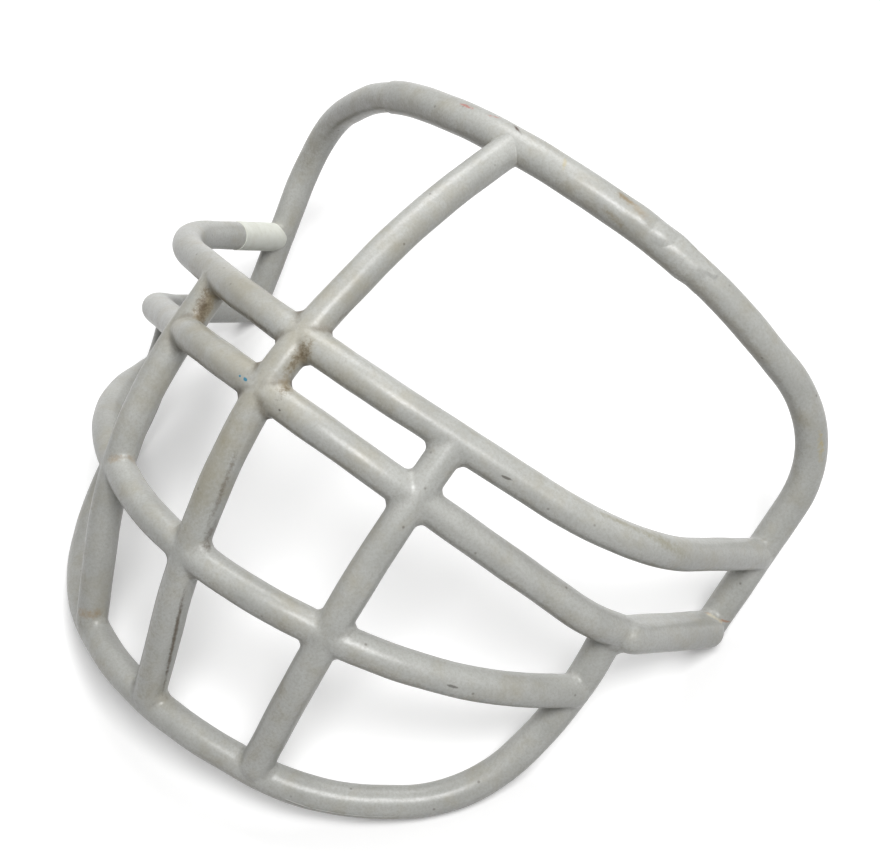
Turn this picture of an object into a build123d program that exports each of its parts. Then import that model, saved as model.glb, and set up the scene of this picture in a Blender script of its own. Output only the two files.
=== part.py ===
from build123d import *
import os

# Face guard of a football helmet: eight bent steel wires, welded where they cross, under a thick dipped
# vinyl skin. It lies as it rests on a table. X is across the face with the plane of symmetry at 0 and the
# wearer's left at +X, the brow is at +Y, and the heels of the brow hoop and the lower hoop touch Z 0.

# Wire and vinyl
wire_d = 6.35
skin_t = 1.6
rod_d = wire_d + 2 * skin_t
rest_z = rod_d / 2

# Brow hoop, corner by corner from the middle to the heel
brow_crown_y = 89.5
brow_crown_z = 121.5
brow_shoulder_x = 61
brow_shoulder_y = 100
brow_shoulder_z = 99
brow_temple_x = 96.5
brow_temple_y = 105.5
brow_temple_z = 64
brow_cheek_x = 106
brow_cheek_y = 98
brow_cheek_z = 44
heel_x = 101.5
heel_y = 57.2
brow_crown_r = 75
brow_shoulder_r = 116
brow_temple_r = 40
brow_cheek_r = 35

# Eye bar, the upper of the three bars across the face
eye_apex_y = -0.5
eye_apex_z = 121.5
eye_bend_x = 79
eye_bend_y = 25.1
eye_bend_z = 77.2
eye_turn_x = 96.5
eye_turn_y = 38.5
eye_turn_z = 61.5
eye_end_x = 104
eye_end_y = 75.2
eye_end_z = 25.7
eye_apex_r = 71
eye_bend_r = 65
eye_turn_r = 47

# Second bar, which runs back to the heels
second_apex_y = -19
second_apex_z = 123
second_bend_x = 91
second_bend_y = 14.8
second_bend_z = 51.2
second_turn_x = 95.5
second_turn_y = 23.5
second_turn_z = 39
second_apex_r = 67
second_bend_r = 26
second_turn_r = 25

# Third bar, whose ends meet the lower hoop behind the jaw
third_apex_y = -52.5
third_apex_z = 74
third_bend_x = 74
third_bend_y = -26.8
third_bend_z = 50.9
third_end_x = 91.9
third_end_y = 6
third_end_z = 25.4
third_apex_r = 84
third_bend_r = 90

# Lower hoop, under the chin and up to the bends of the second bar
chin_y = -77.5
chin_z = 26.5
jaw_x = 53
jaw_y = -63
jaw_z = 11
low_x = 83
low_y = -31.5
low_z = 2.3
rear_x = 91
rear_y = 4
rear_z = 17
lower_end_x = 92.6
lower_end_y = 21.8
lower_end_z = 40.1
chin_r = 70
jaw_r = 78
low_r = 45
rear_r = 72

# Centre bar, in the plane of symmetry from the brow hoop to the lower hoop
centre_top_y = 91.7
centre_top_z = 115.7
centre_upper_y = 51.5
centre_upper_z = 119.5
centre_knee_y = -5
centre_knee_z = 110
centre_lower_y = -43.5
centre_lower_z = 76.5
centre_foot_y = -73.4
centre_foot_z = 25.5
centre_upper_r = 170
centre_knee_r = 77
centre_lower_r = 170

# Uprights, from the eye bar to the lower hoop
upright_top_x = 46.3
upright_top_y = 13.1
upright_top_z = 95.4
upright_knee_x = 46.5
upright_knee_y = -15.5
upright_knee_z = 81.5
upright_lower_x = 44
upright_lower_y = -42
upright_lower_z = 58
upright_foot_x = 36.7
upright_foot_y = -66.9
upright_foot_z = 19.1
upright_knee_r = 118
upright_lower_r = 140

# Second layer of vinyl on the brow; its ends are shares of the brow hoop's length
sleeve_t = 0.4
sleeve_right_share = 0.341
sleeve_left_share = 0.676

# Run of vinyl along the wearer's left arm of the second bar, between shares of the bar's length
run_out = 2.8
run_start_share = 0.86
run_end_share = 0.985

# Paper label round the inner side of the eye bar's end at the wearer's right
label_l = 26
label_t = 0.2
label_turn = 20


def mirrored(point):
    """The same point on the other side of the plane of symmetry."""
    x, y, z = point
    return (-x, y, z)


def hoop_line(half_corners, half_bends):
    """Symmetric bent line; the first corner lies in the plane of symmetry and the last one is the +X end."""
    other_corners = [mirrored(corner) for corner in reversed(half_corners[1:])]
    other_bends = list(reversed(half_bends[1:]))
    return FilletPolyline(*other_corners, *half_corners, radius=[*other_bends, *half_bends])


def rod(line, diameter):
    """Round rod along a line, square at its ends."""
    start = Plane(origin=line @ 0, z_dir=line % 0)
    return sweep(start * Circle(diameter / 2), path=line)


def dipped(line):
    """Rod with its vinyl skin, domed at its ends by the dip."""
    domes = [Pos(line @ end) * Sphere(rod_d / 2) for end in (0, 1)]
    return rod(line, rod_d) + domes


# Centrelines
heel = (heel_x, heel_y, rest_z)
brow_corners = [
    (0, brow_crown_y, brow_crown_z),
    (brow_shoulder_x, brow_shoulder_y, brow_shoulder_z),
    (brow_temple_x, brow_temple_y, brow_temple_z),
    (brow_cheek_x, brow_cheek_y, brow_cheek_z),
    heel,
]
brow_line = hoop_line(brow_corners, [brow_crown_r, brow_shoulder_r, brow_temple_r, brow_cheek_r])

eye_corners = [
    (0, eye_apex_y, eye_apex_z),
    (eye_bend_x, eye_bend_y, eye_bend_z),
    (eye_turn_x, eye_turn_y, eye_turn_z),
    (eye_end_x, eye_end_y, eye_end_z),
]
eye_line = hoop_line(eye_corners, [eye_apex_r, eye_bend_r, eye_turn_r])

second_corners = [
    (0, second_apex_y, second_apex_z),
    (second_bend_x, second_bend_y, second_bend_z),
    (second_turn_x, second_turn_y, second_turn_z),
    heel,
]
second_line = hoop_line(second_corners, [second_apex_r, second_bend_r, second_turn_r])

third_corners = [
    (0, third_apex_y, third_apex_z),
    (third_bend_x, third_bend_y, third_bend_z),
    (third_end_x, third_end_y, third_end_z),
]
third_line = hoop_line(third_corners, [third_apex_r, third_bend_r])

lower_corners = [
    (0, chin_y, chin_z),
    (jaw_x, jaw_y, jaw_z),
    (low_x, low_y, low_z),
    (rear_x, rear_y, rear_z),
    (lower_end_x, lower_end_y, lower_end_z),
]
lower_line = hoop_line(lower_corners, [chin_r, jaw_r, low_r, rear_r])

centre_line = FilletPolyline(
    (0, centre_top_y, centre_top_z),
    (0, centre_upper_y, centre_upper_z),
    (0, centre_knee_y, centre_knee_z),
    (0, centre_lower_y, centre_lower_z),
    (0, centre_foot_y, centre_foot_z),
    radius=[centre_upper_r, centre_knee_r, centre_lower_r],
)

upright_corners = [
    (upright_top_x, upright_top_y, upright_top_z),
    (upright_knee_x, upright_knee_y, upright_knee_z),
    (upright_lower_x, upright_lower_y, upright_lower_z),
    (upright_foot_x, upright_foot_y, upright_foot_z),
]
upright_bends = [upright_knee_r, upright_lower_r]
left_line = FilletPolyline(*upright_corners, radius=upright_bends)
right_line = FilletPolyline(*[mirrored(corner) for corner in upright_corners], radius=upright_bends)

lines = {
    "brow_hoop": brow_line,
    "lower_hoop": lower_line,
    "eye_bar": eye_line,
    "second_bar": second_line,
    "third_bar": third_line,
    "centre_bar": centre_line,
    "upright_left": left_line,
    "upright_right": right_line,
}

# Steel wires; each later wire is saddled into the ones that it is welded to
wires = {}
for name, line in lines.items():
    wires[name] = rod(line, wire_d) - list(wires.values())

# Vinyl skin of each wire; where two meet, the later skin ends on the earlier one
dips = {name: dipped(line) for name, line in lines.items()}
run_line = Pos(run_out, 0, 0) * second_line.trim(run_start_share, run_end_share)
dips["second_bar"] += dipped(run_line)
skins = {}
earlier_dips = []
for name, dip in dips.items():
    skins[name] = dip - [*wires.values(), *earlier_dips]
    earlier_dips.append(dip)

# Sleeve over the brow hoop's skin, open where the centre bar joins
sleeve_line = brow_line.trim(sleeve_right_share, sleeve_left_share)
sleeve = rod(sleeve_line, rod_d + 2 * sleeve_t) - [dips["brow_hoop"], dips["centre_bar"]]

# Label, a half ring of paper on the straight end of the eye bar
label_plane = Plane(origin=eye_line @ 0, x_dir=(1, 0, 0), z_dir=eye_line % 0)
label_ring = Circle(rod_d / 2 + label_t) - Circle(rod_d / 2)
label_half = label_ring & Rectangle(rod_d, 2 * rod_d, align=(Align.MIN, Align.CENTER))
label = extrude(label_plane * Rot(0, 0, label_turn) * label_half, label_l) - [dips["eye_bar"], dips["brow_hoop"]]

nodes = {name + "_wire": wire for name, wire in wires.items()}
nodes.update({name + "_skin": skin for name, skin in skins.items()})
nodes["brow_sleeve"] = sleeve
nodes["blank_label"] = label

# Origin under the middle of the guard
front = min(node.bounding_box().min.Y for node in nodes.values())
back = max(node.bounding_box().max.Y for node in nodes.values())
to_middle = Pos(0, -(front + back) / 2, 0)

os.makedirs("parts", exist_ok=True)
for name, node in nodes.items():
    export_step(to_middle * node, "parts/" + name + ".step")
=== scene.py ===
import math

import bmesh
import bpy
import numpy as np
from mathutils import Matrix, Quaternion, Vector, noise


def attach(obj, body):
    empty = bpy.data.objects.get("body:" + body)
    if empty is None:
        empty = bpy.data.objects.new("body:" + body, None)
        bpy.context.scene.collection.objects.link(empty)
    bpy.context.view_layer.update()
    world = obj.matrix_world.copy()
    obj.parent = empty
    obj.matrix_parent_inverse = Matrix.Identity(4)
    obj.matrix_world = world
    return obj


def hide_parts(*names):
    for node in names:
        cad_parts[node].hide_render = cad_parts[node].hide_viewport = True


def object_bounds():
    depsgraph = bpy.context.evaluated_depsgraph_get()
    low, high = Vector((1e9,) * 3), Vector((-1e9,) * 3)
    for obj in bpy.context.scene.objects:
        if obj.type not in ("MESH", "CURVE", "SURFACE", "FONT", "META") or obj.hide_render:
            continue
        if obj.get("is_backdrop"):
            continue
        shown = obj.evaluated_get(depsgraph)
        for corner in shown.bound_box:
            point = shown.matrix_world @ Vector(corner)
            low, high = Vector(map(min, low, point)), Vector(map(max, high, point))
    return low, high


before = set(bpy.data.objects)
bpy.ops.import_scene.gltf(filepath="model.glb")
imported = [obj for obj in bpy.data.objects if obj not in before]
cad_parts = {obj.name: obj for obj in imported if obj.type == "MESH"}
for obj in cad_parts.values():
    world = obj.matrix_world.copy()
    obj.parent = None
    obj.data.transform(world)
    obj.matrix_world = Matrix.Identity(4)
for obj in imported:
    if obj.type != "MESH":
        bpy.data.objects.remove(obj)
size = {"frame": [list(corner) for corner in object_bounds()]}
mm = 0.001


# Dipped bars
# Eight steel wires are welded into a cage, and the whole cage is dipped in liquid vinyl, which sets as one
# skin. The skins of the CAD's bars are run together here, and the vinyl draws a web into each corner.
skin_nodes = [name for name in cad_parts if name.endswith("_skin")]
wire_nodes = [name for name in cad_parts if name.endswith("_wire")]
voxel = 0.55 * mm


def read_points(mesh):
    """The vertices of a mesh, one to a row."""
    flat = np.empty(3 * len(mesh.vertices))
    mesh.vertices.foreach_get("co", flat)
    return flat.reshape(-1, 3)


# The welder presses the upright bars level with the bars that they cross. At each place along Y, both in
# millimetres, a bar lies this much nearer to the middle of the throat; a value under 0 is a lift.
throat = Vector((0, 20, 30)) * mm
centre_press = {-85: 0.2, -62: 0.9, -25: 0.8, -9: 1.4, 20: 0.5, 76: -0.5}
upright_press = {-80: 0.2, -53: 0.7, -18: 0.8, 0: 0.4}
press = {"centre_bar": centre_press, "upright_left": upright_press, "upright_right": upright_press}
points = []
polygons = []
for name in skin_nodes + wire_nodes:
    bar = name.rsplit("_", 1)[0]
    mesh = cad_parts[name].data
    first = len(points)
    places = read_points(mesh)
    if bar in press:
        inward = np.array(throat) - places
        inward /= np.linalg.norm(inward, axis=1)[:, None]
        nearer = np.interp(places[:, 1] / mm, list(press[bar]), list(press[bar].values())) * mm
        places = places + inward * nearer[:, None]
    points += places.tolist()
    polygons += [[first + i for i in polygon.vertices] for polygon in mesh.polygons]
stacked = bpy.data.meshes.new("stacked bars")
stacked.from_pydata(points, [], polygons)
stack = bpy.data.objects.new("stacked bars", stacked)
bpy.context.collection.objects.link(stack)
merge = stack.modifiers.new("merge", "REMESH")
merge.mode = "VOXEL"
merge.voxel_size = voxel
skin_mesh = bpy.data.meshes.new_from_object(stack.evaluated_get(bpy.context.evaluated_depsgraph_get()))
skin_mesh.name = "vinyl skin"
bpy.data.objects.remove(stack)

edges = np.empty(2 * len(skin_mesh.edges), int)
skin_mesh.edges.foreach_get("vertices", edges)
starts, ends = edges.reshape(-1, 2).T
here = np.concatenate([starts, ends])
there = np.concatenate([ends, starts])
neighbours = np.bincount(here)[:, None]


def relaxed(places, rounds):
    """The skin's points after rounds that each draw them halfway to the mean of their neighbours."""
    for _ in range(rounds):
        sums = [np.bincount(here, column[there]) for column in places.T]
        places = (places + np.stack(sums, axis=1) / neighbours) / 2
    return places


def place_vertices(mesh, places):
    """Moves the vertices of a mesh to these places."""
    mesh.vertices.foreach_set("co", places.ravel())
    mesh.update()


def read_normals(mesh):
    """The normals at the vertices of a mesh, one to a row."""
    flat = np.empty(3 * len(mesh.vertices))
    mesh.vertex_normals.foreach_get("vector", flat)
    return flat.reshape(-1, 3)


# Softened far, the skin fills its corners and thins on its round bars. It thins nearly alike all over, so
# what else each point moves outward tells how hollow the skin is there. From the crease fill to the web fill,
# the softened skin takes the place of the crisp one. On the brow, beyond these places along Y, the webs are
# small.
crisp_rounds = 2
soft_rounds = 90
spread_rounds = 24
spread_gain = 2.2
finish_rounds = 2
crease_fill = 0.55 * mm
web_fill = 0.88 * mm
brow_start_y = 50 * mm
brow_full_y = 65 * mm
brow_web_share = 0.2
crisp = relaxed(read_points(skin_mesh), crisp_rounds)
place_vertices(skin_mesh, crisp)
normals = read_normals(skin_mesh)
soft = relaxed(crisp, soft_rounds)
outward = ((soft - crisp) * normals).sum(axis=1)
thinning = -np.median(outward)
hollow = outward + thinning
web = np.clip((hollow - crease_fill) / (web_fill - crease_fill), 0, 1)
web = np.clip(relaxed(web[:, None], spread_rounds) * spread_gain, 0, 1)
web = web * web * (3 - 2 * web) * np.interp(crisp[:, 1:2], [brow_start_y, brow_full_y], [1, brow_web_share])
filled = relaxed(crisp + (soft + normals * thinning / 2 - crisp) * web, finish_rounds)

# The coat is a little uneven, and it is squeezed in at one place on the wearer's left of the brow.
wave_height = 0.16 * mm
wave_length = 11 * mm
waist = Vector((49.6, 82.3, 107.8)) * mm
waist_depth = 0.65 * mm
waist_reach = 4 * mm
swelling = Vector((42.5, 81.3, 110.4)) * mm
swelling_height = 0.4 * mm


def uneven(places, normals):
    """The points of a coat with its waves, its waist and the swelling beside it."""
    waves = np.array([noise.noise(Vector(place) / wave_length) for place in places]) * wave_height
    from_waist = np.linalg.norm(places - np.array(waist), axis=1) / waist_reach
    from_swelling = np.linalg.norm(places - np.array(swelling), axis=1) / waist_reach
    height = waves - waist_depth * np.exp(-(from_waist**2)) + swelling_height * np.exp(-(from_swelling**2))
    return np.clip(places + normals * height[:, None], *size["frame"])


place_vertices(skin_mesh, uneven(filled, normals))
skin_mesh.shade_smooth()
crevice = skin_mesh.attributes.new("crevice", "FLOAT", "POINT")
crevice.data.foreach_set("value", np.clip(hollow / web_fill, 0, 1))

vinyl_skin = bpy.data.objects.new("vinyl_skin", skin_mesh)
bpy.context.collection.objects.link(vinyl_skin)
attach(vinyl_skin, "root")
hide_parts(*skin_nodes, *wire_nodes)


def linear(hex_colour):
    """Scene-linear colour of an sRGB hex value."""
    channels = [int(hex_colour[i : i + 2], 16) / 255 for i in (1, 3, 5)]
    return [*(c / 12.92 if c <= 0.04045 else ((c + 0.055) / 1.055) ** 2.4 for c in channels), 1]


def add(tree, kind, settings=None, **sockets):
    """A shader node with its settings; each socket, by name or as i0, i1, gets a value or its source."""
    node = tree.nodes.new(kind)
    for name, value in (settings or {}).items():
        setattr(node, name, value)
    for name, value in sockets.items():
        key = int(name[1:]) if name[1:].isdigit() else name.replace("_", " ")
        if isinstance(value, bpy.types.NodeSocket):
            tree.links.new(value, node.inputs[key])
        else:
            node.inputs[key].default_value = value
    return node.outputs


# Dipped vinyl, a soft plastisol: satin and warm grey, with the faint orange peel of a thick coat. Use has
# left grime in its corners, specks and stains, and scuffs and rust at a few places.
vinyl = bpy.data.materials.new("dipped vinyl")
vinyl.use_nodes = True
tree = vinyl.node_tree
bsdf = tree.nodes["Principled BSDF"]
coordinates = add(tree, "ShaderNodeTexCoord")
at = coordinates["Object"]
normal = coordinates["Normal"]
rgba = {"data_type": "RGBA"}
multiply = {"operation": "MULTIPLY"}
multiply_add = {"operation": "MULTIPLY_ADD"}

# Clouds two centimetres wide, and a grain finer than a millimetre
cloud = add(tree, "ShaderNodeTexNoise", Vector=at, Scale=1 / (22 * mm), Detail=3.0, Roughness=0.6)[0]
grain = add(tree, "ShaderNodeTexNoise", Vector=at, Scale=1 / (0.8 * mm), Detail=3.0, Roughness=0.8)[0]
tone = add(tree, "ShaderNodeMapRange", i0=cloud, i1=0.35, i2=0.65)[0]
grey = add(tree, "ShaderNodeMix", rgba, i0=tone, i6=linear("#b1b2ae"), i7=linear("#bfc0bc"))[2]
grain_share = add(tree, "ShaderNodeMapRange", i0=grain, i1=0.4, i2=0.7, i3=0.0, i4=0.4)[0]
grey = add(tree, "ShaderNodeMix", rgba, i0=grain_share, i6=grey, i7=linear("#8f8b80"))[2]

# A yellowish film, heavier round the most soiled place, beside the crossing of eye bar and centre bar
soiled_place = Vector((-18, -14, 105)) * mm
soiled = add(tree, "ShaderNodeVectorMath", {"operation": "DISTANCE"}, i0=at, i1=soiled_place)["Value"]
soiled = add(tree, "ShaderNodeMapRange", i0=soiled, i1=20 * mm, i2=60 * mm, i3=0.5, i4=0.0)[0]
film_noise = add(tree, "ShaderNodeTexNoise", Vector=at, Scale=1 / (9 * mm), Detail=5.0, Roughness=0.65)[0]
film = add(tree, "ShaderNodeMath", multiply_add, i0=soiled, i1=0.3, i2=film_noise)[0]
film = add(tree, "ShaderNodeMapRange", i0=film, i1=0.48, i2=0.76, i3=0.0, i4=0.45)[0]
grey = add(tree, "ShaderNodeMix", rgba, i0=film, i6=grey, i7=linear("#a29a82"))[2]

# A brown film on the flanks that face the chin and the ground. It is partly painted shade: these sides are
# darkened by which way they face, and noise breaks it up.
dirt_and_shade_way = (-0.1, -0.75, -0.65)
flank_dirt_and_shade = add(tree, "ShaderNodeVectorMath", {"operation": "DOT_PRODUCT"}, i0=normal, i1=dirt_and_shade_way)["Value"]
flank_dirt_and_shade = add(tree, "ShaderNodeMath", multiply_add, i0=film_noise, i1=1.4, i2=flank_dirt_and_shade)[0]
flank_dirt_and_shade = add(tree, "ShaderNodeMath", multiply_add, i0=grain, i1=0.9, i2=flank_dirt_and_shade)[0]
flank_dirt_and_shade = add(tree, "ShaderNodeMapRange", i0=flank_dirt_and_shade, i1=1.45, i2=2.3, i3=0.0, i4=0.55)[0]
grey = add(tree, "ShaderNodeMix", rgba, i0=flank_dirt_and_shade, i6=grey, i7=linear("#7b7260"))[2]

# Dirt in the creases and webs, heavier round the same place
dirt_noise = add(tree, "ShaderNodeTexNoise", Vector=at, Scale=1 / (3.5 * mm), Detail=5.0, Roughness=0.75)[0]
crevice_depth = add(tree, "ShaderNodeAttribute", {"attribute_name": "crevice"})["Fac"]
dirt = add(tree, "ShaderNodeMath", multiply_add, i0=crevice_depth, i1=0.25, i2=dirt_noise)[0]
dirt = add(tree, "ShaderNodeMath", multiply_add, i0=crevice_depth, i1=soiled, i2=dirt)[0]
dirt = add(tree, "ShaderNodeMapRange", i0=dirt, i1=0.66, i2=1.2, i3=0.0, i4=0.65)[0]
colour = add(tree, "ShaderNodeMix", rgba, i0=dirt, i6=grey, i7=linear("#5d5344"))[2]

# Specks, one in each of a few cells about 5 mm wide
cells = add(tree, "ShaderNodeTexVoronoi", Vector=at, Scale=1 / (5 * mm))
chance = add(tree, "ShaderNodeSeparateColor", Color=cells["Color"])["Red"]
near = add(tree, "ShaderNodeMapRange", i0=cells["Distance"], i1=0.11, i2=0.05)[0]
chosen = add(tree, "ShaderNodeMath", {"operation": "GREATER_THAN"}, i0=chance, i1=0.72)[0]
speck = add(tree, "ShaderNodeMath", multiply, i0=near, i1=chosen)[0]
speck = add(tree, "ShaderNodeMath", multiply, i0=speck, i1=0.5)[0]
colour = add(tree, "ShaderNodeMix", rgba, i0=speck, i6=colour, i7=linear("#4f4436"))[2]

# Marks, each from one end to the other, in millimetres, with its width, colour, strength and how far its
# edge fades and breaks up, as a share of the width
grime = "#54442f"
stain = "#95886d"
tan = "#a08358"
olive = "#8b8362"
crack = "#5a4a40"
chip = "#4a443c"
rust = "#a5714a"
scuff_red = "#b5402c"
dot_blue = "#1f7f9e"
marks = [
    # Grime and stains beside the crossings
    ((4.9, -10.5, 110.5), (6.8, -23.0, 106.5), 3.0, stain, 0.7, 0.8),
    ((4.8, -12.0, 111.5), (7.4, -24.0, 106.0), 2.2, grime, 0.8, 1.7),
    ((-42.5, -8.5, 95.5), (-40.5, -15.0, 92.0), 3.0, stain, 0.7, 0.8),
    ((5.0, 6.0, 111.5), (6.5, -8.0, 110.0), 1.2, grime, 0.5, 1.4),
    ((-43.2, -9.5, 96.5), (-40.5, -14.5, 92.0), 2.3, grime, 0.8, 1.6),
    ((4.4, -53.5, 76.5), (4.8, -59.5, 71.0), 1.8, grime, 0.6, 1.5),
    ((4.6, -65.5, 67.0), (4.6, -86.0, 30.0), 0.75, grime, 0.8, 1.2),
    ((-43.0, -54.5, 66.2), (-39.8, -50.8, 63.6), 1.9, tan, 0.5, 1.3),
    ((-37.5, -84.2, 24.8), (-33.4, -80.6, 24.3), 1.9, tan, 0.5, 1.3),
    # Rubs on the wearer's left cheek and along the brow
    ((105.0, 85.5, 58.0), (108.8, 79.5, 38.0), 1.4, "#b5a25c", 0.7, 1.0),
    ((34.3, 81.1, 114.2), (38.6, 81.5, 112.7), 1.1, "#8d7a5c", 0.75, 1.2),
    ((38.6, 81.5, 112.7), (44.0, 81.0, 110.8), 1.4, "#a3937a", 0.5, 1.4),
    ((34.0, 75.8, 112.3), (41.0, 75.8, 108.2), 1.3, "#8a8069", 0.6, 1.5),
    # Red scuffs and cracks beside the joint of brow and centre bar
    ((-22.2, 78.3, 117.3), (-17.0, 77.8, 118.7), 0.7, scuff_red, 0.9, 0.9),
    ((-11.1, 77.8, 119.8), (-7.0, 78.8, 120.3), 0.6, scuff_red, 0.8, 1.0),
    ((0.3, 77.9, 120.8), (9.0, 75.7, 120.2), 0.6, crack, 0.95, 0.8),
    ((-2.1, 78.9, 120.6), (3.0, 76.7, 120.7), 0.55, crack, 0.9, 0.8),
    ((17.4, 78.1, 119.4), (18.9, 75.6, 118.5), 0.7, "#b3a77c", 0.6, 1.0),
    # Blue dots, dark chips and a rust spot on the bars across the face
    ((-5.9, -27.0, 106.1), (-5.7, -27.0, 106.1), 0.32, dot_blue, 0.9, 0.6),
    ((-4.0, -27.1, 106.5), (-3.3, -27.1, 106.6), 0.48, dot_blue, 0.9, 0.6),
    ((9.8, -28.0, 105.5), (10.0, -28.0, 105.5), 0.3, "#57504a", 0.7, 0.5),
    ((-6.8, -29.6, 102.2), (-6.1, -29.6, 102.3), 0.8, "#3d3226", 0.9, 0.7),
    ((61.2, 0.2, 91.3), (63.3, 1.1, 90.5), 0.4, chip, 0.7, 0.6),
    ((74.1, -39.4, 49.9), (75.9, -38.0, 48.7), 0.45, chip, 0.65, 0.6),
    ((-18.6, -3.3, 110.1), (-17.2, -3.1, 110.3), 0.7, "#7a4527", 0.75, 0.6),
    # Rust that seeps from the seam of the wearer's left heel, and a pale line along it, a painted glint where
    # the edge of the seam catches the light
    ((100.6, 41.0, 12.0), (103.8, 41.6, 10.1), 0.5, rust, 0.65, 0.8),
    ((104.0, 42.3, 10.7), (106.8, 45.0, 8.8), 0.45, rust, 0.65, 0.8),
    # Painted glint along the edge of the seam
    ((101.0, 40.6, 12.6), (104.2, 41.4, 10.0), 0.8, "#cbc4ae", 0.8, 1.0),
    # Olive and brown runs along the eye bar and the centre bar
    ((81.9, 13.1, 79.5), (92.9, 21.4, 69.1), 1.0, olive, 0.45, 1.6),
    ((92.9, 21.4, 69.1), (99.3, 27.6, 58.8), 1.8, olive, 0.5, 1.5),
    ((4.1, -41.2, 94.6), (4.4, -55.0, 79.0), 0.9, grime, 0.6, 1.7),
    ((-39.0, -7.0, 100.5), (-19.9, -11.7, 107.6), 0.9, grime, 0.6, 1.5),
    ((-19.9, -11.7, 107.6), (-6.6, -13.2, 110.0), 1.2, grime, 0.7, 1.6),
    ((-0.8, -34.0, 100.5), (0.7, -58.4, 80.3), 4.2, "#8f8769", 0.35, 1.2),
]
# Thin lip that the dip left under the lower hoop on the wearer's left, painted and not built: a pale line is
# a painted highlight on its edge, and a dark line below it is painted shade
drip_lip = [
    (48.5, -82.8, 14.4),
    (54.5, -79.7, 11.9),
    (61.4, -75.0, 9.9),
    (67.7, -69.6, 8.1),
    (72.8, -64.5, 6.7),
]
to_painted_shade_line = Vector((-0.1, 0, -0.6))
# Each span gets a dark line of painted shade and a pale line of painted highlight
for start, end in zip(drip_lip, drip_lip[1:]):
    marks.append((Vector(start) + to_painted_shade_line, Vector(end) + to_painted_shade_line, 0.3, "#77746a", 0.6, 0.4))
    marks.append((start, end, 0.3, "#dcdcd6", 0.7, 0.4))


def on_surface(place):
    """The nearest point of the vinyl skin, or of the sleeve where that lies on top of it."""
    on_skin = vinyl_skin.closest_point_on_mesh(place)[1]
    on_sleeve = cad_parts["brow_sleeve"].closest_point_on_mesh(place)[1]
    on_top = (on_sleeve - throat).length > (on_skin - throat).length
    return on_sleeve if on_top and (on_sleeve - place).length < 1 * mm else on_skin


ragged = add(tree, "ShaderNodeTexNoise", Vector=at, Scale=1 / (1.1 * mm), Detail=5.0, Roughness=0.8)[0]
for start, end, width, mark_colour, strength, fade in marks:
    start, end = (on_surface(Vector(corner) * mm) for corner in (start, end))
    along = end - start
    inside = add(
        tree,
        "ShaderNodeMapping",
        {"vector_type": "TEXTURE"},
        Vector=at,
        Location=(start + end) / 2,
        Rotation=along.to_track_quat("X", "Z").to_euler(),
        Scale=(along.length / 2 + width * mm, width * mm, width * mm),
    )[0]
    away = add(tree, "ShaderNodeVectorMath", {"operation": "LENGTH"}, i0=inside)["Value"]
    away = add(tree, "ShaderNodeMath", multiply_add, i0=ragged, i1=2 * fade, i2=away)[0]
    gone = 1 + 1.1 * fade
    full = 1 + 0.5 * fade
    share = add(tree, "ShaderNodeMapRange", i0=away, i1=gone, i2=full, i3=0.0, i4=strength)[0]
    colour = add(tree, "ShaderNodeMix", rgba, i0=share, i6=colour, i7=linear(mark_colour))[2]

# Dirt dulls the satin. The orange peel is 2.6 mm wide, and the grain leaves shallow pits.
roughness = add(tree, "ShaderNodeMapRange", i0=grain, i1=0.3, i2=0.7, i3=0.28, i4=0.4)[0]
roughness = add(tree, "ShaderNodeMath", multiply_add, i0=dirt, i1=0.5, i2=roughness)[0]
peel = add(tree, "ShaderNodeTexNoise", Vector=at, Scale=1 / (2.6 * mm), Detail=2.0, Roughness=0.5)[0]
relief = add(tree, "ShaderNodeBump", Height=peel, Strength=1.0, Distance=0.035 * mm)[0]
relief = add(tree, "ShaderNodeBump", Height=grain, Normal=relief, Strength=1.0, Distance=0.012 * mm)[0]
tree.links.new(colour, bsdf.inputs["Base Color"])
tree.links.new(roughness, bsdf.inputs["Roughness"])
tree.links.new(relief, bsdf.inputs["Normal"])
bsdf.inputs["IOR"].default_value = 1.52
skin_mesh.materials.append(vinyl)


# Sleeve
# A second layer of the same vinyl lies over the middle of the brow hoop, from one bend to the other. It went
# on after the dip, so its ends show as thin steps.
split_rounds = 5
longest_edge = 0.9 * mm
sleeve_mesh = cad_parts["brow_sleeve"].data.copy()
sleeve_mesh.name = "vinyl sleeve"
split = bmesh.new()
split.from_mesh(sleeve_mesh)
for _ in range(split_rounds):
    long_edges = [edge for edge in split.edges if edge.calc_length() > longest_edge]
    bmesh.ops.subdivide_edges(split, edges=long_edges, cuts=1)
split.to_mesh(sleeve_mesh)
split.free()

# Its end on the wearer's left ran out thin, in a tongue. A low lip edges the tongue and fades out below. How
# far before the end the lip lies, and its width, both in millimetres, follow from how far the surface faces
# the brow. Across the lip, in widths from its edge, the layer keeps a share of its thickness.
end_way = Vector((0.66, -0.05, -0.75)).normalized()
faces_brow = [-0.3, 0, 0.2, 0.35, 0.5, 0.75]
lip_before_end = [6, 1.5, 3, 6, 11, 14]
lip_width = [5, 1.2, 0.9, 1, 1.5, 7]
widths_past_edge = [-0.5, 0.3, 1, 2.5]
thickness_share = [0.1, 1.35, 1.2, 1]
least_way = 0.1 * mm
tops = read_points(sleeve_mesh)
beds = np.array([vinyl_skin.closest_point_on_mesh(Vector(top))[1] for top in tops])
ways = tops - beds
facing = ways[:, 1] / np.maximum(np.linalg.norm(ways, axis=1), least_way)
run = tops @ np.array(end_way)
past_edge = (run.max() - run) / mm - np.interp(facing, faces_brow, lip_before_end)
kept = np.interp(past_edge / np.interp(facing, faces_brow, lip_width), widths_past_edge, thickness_share)
place_vertices(sleeve_mesh, uneven(beds + ways * kept[:, None], read_normals(sleeve_mesh)))
sleeve_mesh.materials.clear()
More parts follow.
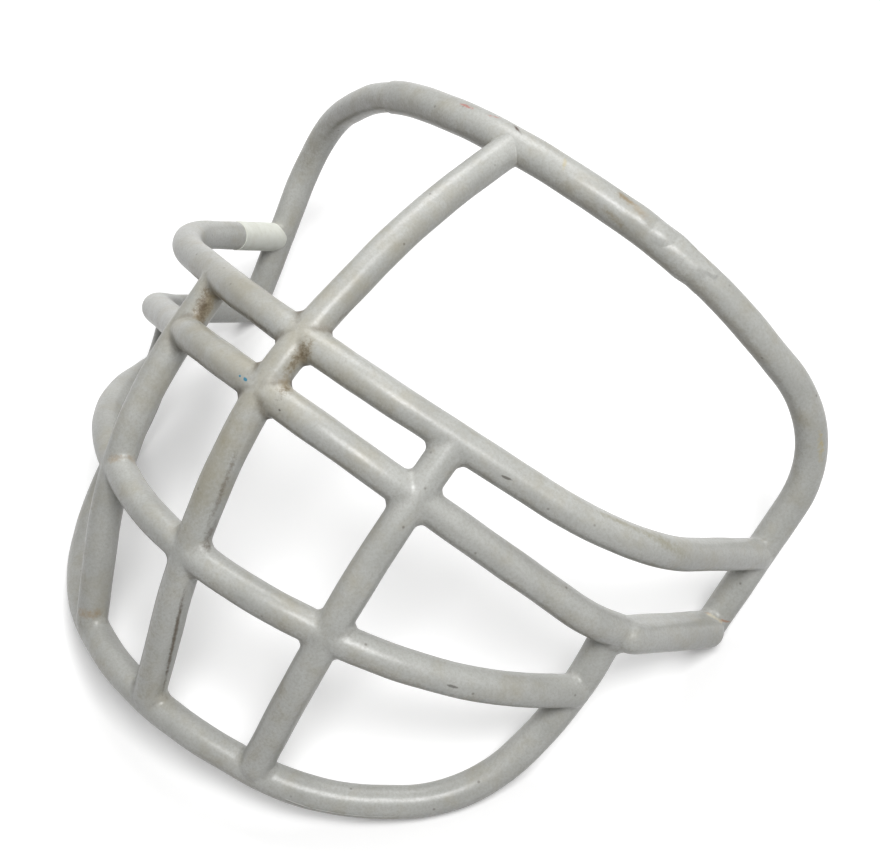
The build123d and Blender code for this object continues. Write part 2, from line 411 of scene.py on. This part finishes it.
sleeve_mesh.materials.append(vinyl)
sleeve = bpy.data.objects.new("vinyl_sleeve", sleeve_mesh)
bpy.context.collection.objects.link(sleeve)
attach(sleeve, "root")
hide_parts("brow_sleeve")


# Label
# A strip of white paper, coated on its face, is stuck round the inner side of the eye bar's end on the
# wearer's right. It is blank.
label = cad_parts["blank_label"]

# Coated paper, white and nearly matt, with yellowish smudges
paper = bpy.data.materials.new("coated paper")
paper.use_nodes = True
tree = paper.node_tree
bsdf = tree.nodes["Principled BSDF"]
at = add(tree, "ShaderNodeTexCoord")["Object"]
smudge = add(tree, "ShaderNodeTexNoise", Vector=at, Scale=1 / (4 * mm), Detail=5.0, Roughness=0.7)[0]
share = add(tree, "ShaderNodeMapRange", i0=smudge, i1=0.45, i2=0.75, i3=0.0, i4=0.5)[0]
colour = add(tree, "ShaderNodeMix", rgba, i0=share, i6=linear("#eceee5"), i7=linear("#c9c8b8"))[2]
tree.links.new(colour, bsdf.inputs["Base Color"])
bsdf.inputs["Roughness"].default_value = 0.55
label.data.materials.clear()
label.data.materials.append(paper)


# Camera
# It stands over the wearer's left of the chin and looks down through the guard at the table. Its place, roll
# and lens were fitted to the photograph; the focal length and the middle of the lens are in its pixels.
photo_w = 880
photo_h = 862
focal = 1624.2
middle_x = 452.5
middle_y = 417.7
camera_place = Vector((238.74, -172.27, 433.63)) * mm
camera_aim = Vector((-15.3, 53.63, 0)) * mm
camera_roll = math.radians(-7.18)
camera_lens = bpy.data.cameras.new("camera")
camera_lens.sensor_width = 36
camera_lens.lens = focal * camera_lens.sensor_width / photo_w
camera_lens.shift_x = (photo_w / 2 - middle_x) / photo_w
camera_lens.shift_y = (middle_y - photo_h / 2) / photo_w
camera_lens.clip_start = 10 * mm
camera = bpy.data.objects.new("camera", camera_lens)
bpy.context.collection.objects.link(camera)
level = (camera_aim - camera_place).to_track_quat("-Z", "Y")
turned = level @ Quaternion((0, 0, 1), camera_roll)
camera.matrix_world = Matrix.LocRotScale(camera_place, turned, None)
bpy.context.scene.camera = camera


# Table and light
# The guard lies on a white table under a broad lamp overhead, with a weaker window behind it and a weak even
# light all round.
table_half = 3
corners = [Vector((x, y, 0)) * table_half for x, y in ((-1, -1), (1, -1), (1, 1), (-1, 1))]
table_mesh = bpy.data.meshes.new("table")
table_mesh.from_pydata(corners, [], [(0, 1, 2, 3)])
table = bpy.data.objects.new("table", table_mesh)
bpy.context.collection.objects.link(table)

# White card, matt. It lights the guard from below as a greyer card does, and where it is seen, straight or in
# a reflection, it is lifted to the white of the backdrop.
card = bpy.data.materials.new("white card")
card.use_nodes = True
tree = card.node_tree
bsdf = tree.nodes["Principled BSDF"]
path = add(tree, "ShaderNodeLightPath")
seen = path["Is Camera Ray"]
for ray in ("Is Glossy Ray", "Is Transmission Ray"):
    seen = add(tree, "ShaderNodeMath", {"operation": "MAXIMUM"}, i0=seen, i1=path[ray])[0]
colour = add(tree, "ShaderNodeMix", rgba, i0=seen, i6=linear("#929292"), i7=linear("#fafafa"))[2]
lift = add(tree, "ShaderNodeMath", multiply, i0=seen, i1=0.17)[0]
tree.links.new(colour, bsdf.inputs["Base Color"])
tree.links.new(lift, bsdf.inputs["Emission Strength"])
bsdf.inputs["Emission Color"].default_value = (1, 1, 1, 1)
bsdf.inputs["Roughness"].default_value = 0.9
bsdf.inputs["Specular IOR Level"].default_value = 0.1
table_mesh.materials.append(card)
table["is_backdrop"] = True

sky = bpy.data.worlds.new("even light")
bpy.context.scene.world = sky
sky.use_nodes = True
sky.node_tree.nodes["Background"].inputs["Color"].default_value = (1, 1, 1, 1)
sky.node_tree.nodes["Background"].inputs["Strength"].default_value = 0.22

# Each lamp is square; its place and side are in metres and its power is in watts.
for name, place, side, power in (
    ("lamp overhead", (0.37, -0.1, 0.92), 0.38, 6.8),
    ("window behind", (-0.32, 0.46, 0.83), 0.5, 4.3),
):
    light = bpy.data.lights.new(name, "AREA")
    light.size = side
    light.energy = power
    lamp = bpy.data.objects.new(name, light)
    bpy.context.collection.objects.link(lamp)
    lamp.location = place
    lamp.rotation_euler = (-lamp.location).to_track_quat("-Z", "Y").to_euler()
    lamp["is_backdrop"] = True
bpy.context.scene.view_settings.view_transform = "Standard"

size["shown"] = [list(corner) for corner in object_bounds()]
